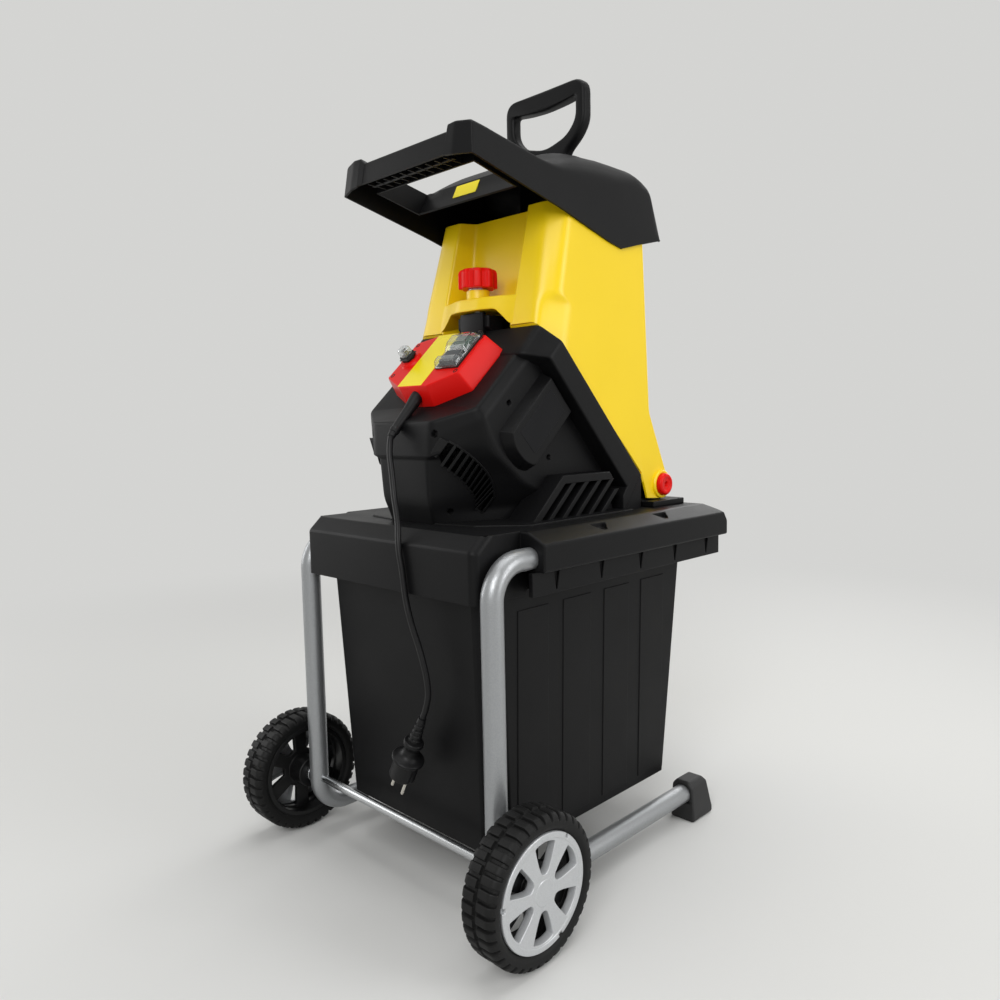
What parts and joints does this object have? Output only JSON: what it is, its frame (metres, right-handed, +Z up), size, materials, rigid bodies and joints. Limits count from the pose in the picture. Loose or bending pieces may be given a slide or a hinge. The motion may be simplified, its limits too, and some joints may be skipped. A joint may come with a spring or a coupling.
{
  "type": "garden shredder",
  "caption": "Wheeled electric garden shredder: tilting funnel hopper with pusher over a belt-driven knife disc, pull-out bin in a bent tube frame, mains lead with plug.",
  "frame": {"origin": "ground under the middle of the machine's box, the mains lead left out", "axes": "+Z up, +Y towards the front where the bin pulls out, +X the side with the plain oval plate nearer the viewer"},
  "size_m": [0.542, 0.587, 1.128],
  "materials": {
    "tube_paint": "silver-grey paint, satin",
    "bright_steel": "bright zinc",
    "blade_steel": "ground",
    "black_plastic": "fine grain",
    "dark_plastic": "fine grain",
    "wheel_plastic": "fine grain",
    "foot_rubber": "fine grain",
    "yellow_plastic": "moulded, satin gloss",
    "red_plastic": "moulded, satin gloss",
    "clear_plastic": "clear, slightly cloudy",
    "green_plastic": "moulded",
    "grey_plastic": "moulded",
    "tyre_rubber": "hard tread",
    "hubcap_silver": "silver paint",
    "cord_rubber": "satin",
    "motor_iron": "varnished laminations",
    "cast_alloy": "as cast",
    "brush_brass": "plain"
  },
  "bodies": {
    "chassis": {"frame_tube_left": "tube_paint", "frame_tube_right": "tube_paint", "axle": "bright_steel", "axle_washers": "bright_steel", "housing_screws": "bright_steel", "switch_box_screws": "bright_steel", "plug_pins": "bright_steel", "spindle_bearings": "bright_steel", "motor_bearings": "bright_steel", "base_cover": "black_plastic", "bin_rail_left": "black_plastic", "bin_rail_right": "black_plastic", "hinge_bracket_left": "black_plastic", "hinge_bracket_right": "black_plastic", "housing_left": "black_plastic", "housing_right": "black_plastic", "lock_bracket": "black_plastic", "switch_frame": "dark_plastic", "reset_breaker": "dark_plastic", "safety_switch": "dark_plastic", "foot_left": "foot_rubber", "foot_right": "foot_rubber", "switch_box": "red_plastic", "cord": "cord_rubber", "cord_gland": "cord_rubber", "plug_body": "cord_rubber", "drive_belt": "cord_rubber", "motor_stator": "motor_iron", "bearing_plate": "cast_alloy", "motor_brackets": "cast_alloy", "brush_holders": "brush_brass"},
    "wheel_left": {"tyre_left": "tyre_rubber", "wheel_core_left": "wheel_plastic", "hubcap_left": "hubcap_silver"},
    "wheel_right": {"tyre_right": "tyre_rubber", "wheel_core_right": "wheel_plastic", "hubcap_right": "hubcap_silver"},
    "cutter": {"driven_pulley": "dark_plastic", "spindle": "bright_steel", "blade_disc": "blade_steel", "knives": "blade_steel", "knife_screws": "bright_steel"},
    "rotor": {"motor_rotor": "motor_iron", "motor_fan": "dark_plastic", "drive_pulley": "dark_plastic"},
    "hopper": {"hopper": "yellow_plastic", "hopper_cap": "black_plastic", "hinge_pins": "bright_steel", "hinge_caps": "red_plastic", "counter_blade": "blade_steel"},
    "lock_carrier": {"lock_washer": "bright_steel"},
    "knob": {"lock_knob": "red_plastic", "lock_screw": "bright_steel"},
    "pusher": {"pusher": "black_plastic"},
    "bin": {"bin": "black_plastic"},
    "start_button": {"start_button": "green_plastic"},
    "stop_button": {"stop_button": "grey_plastic"},
    "switch_flap": {"switch_flap": "clear_plastic"},
    "reset": {"reset_button": "dark_plastic", "reset_boot": "clear_plastic"}
  },
  "joints": [
    {"name": "wheel_left_spin", "type": "hinge", "parent": "chassis", "child": "wheel_left", "pos_m": [-0.2455, -0.2035, 0.09], "axis": [1, 0, 0], "continuous": true},
    {"name": "wheel_right_spin", "type": "hinge", "parent": "chassis", "child": "wheel_right", "pos_m": [0.2455, -0.2035, 0.09], "axis": [1, 0, 0], "continuous": true},
    {"name": "blade_spin", "type": "hinge", "parent": "chassis", "child": "cutter", "pos_m": [0, 0.0745, 0.638], "axis": [0, 0.7314, 0.682], "continuous": true},
    {"name": "rotor_spin", "type": "hinge", "parent": "chassis", "child": "rotor", "pos_m": [0, -0.02053, 0.65193], "axis": [0, 0.7314, 0.682], "continuous": true},
    {"name": "hopper_tilt", "type": "hinge", "parent": "chassis", "child": "hopper", "pos_m": [0, 0.2185, 0.525], "axis": [-1, 0, 0], "range_deg": [0, 80]},
    {"name": "knob_lift", "type": "slide", "parent": "hopper", "child": "lock_carrier", "axis": [0, 0, 1], "range_m": [0, 0.012]},
    {"name": "knob_turn", "type": "hinge", "parent": "lock_carrier", "child": "knob", "pos_m": [0, -0.0285, 0.83], "axis": [0, 0, 1], "range_deg": [0, 1440]},
    {"name": "pusher_lift", "type": "slide", "parent": "hopper", "child": "pusher", "axis": [0, 0, 1], "range_m": [0, 0.28]},
    {"name": "bin_slide", "type": "slide", "parent": "chassis", "child": "bin", "axis": [0, 1, 0], "range_m": [0, 0.4]},
    {"name": "start_press", "type": "slide", "parent": "chassis", "child": "start_button", "axis": [0, 0.682, -0.7314], "range_m": [0, 0.0025], "stiffness_N_per_m": 900, "springref_m": -0.001},
    {"name": "stop_press", "type": "slide", "parent": "chassis", "child": "stop_button", "axis": [0, 0.682, -0.7314], "range_m": [0, 0.0025], "stiffness_N_per_m": 900, "springref_m": -0.001},
    {"name": "flap_hinge", "type": "hinge", "parent": "chassis", "child": "switch_flap", "pos_m": [0.044, -0.08762, 0.74661], "axis": [-1, 0, 0], "range_deg": [0, 110]},
    {"name": "reset_press", "type": "slide", "parent": "chassis", "child": "reset", "axis": [0, 0.682, -0.7314], "range_m": [0, 0.003], "stiffness_N_per_m": 700, "springref_m": -0.001}
  ],
  "couplings": [
    {"joint": "rotor_spin", "follows": "blade_spin", "ratio": 3},
    {"joint": "knob_lift", "follows": "knob_turn", "m_per_rad": 0.00047746}
  ]
}
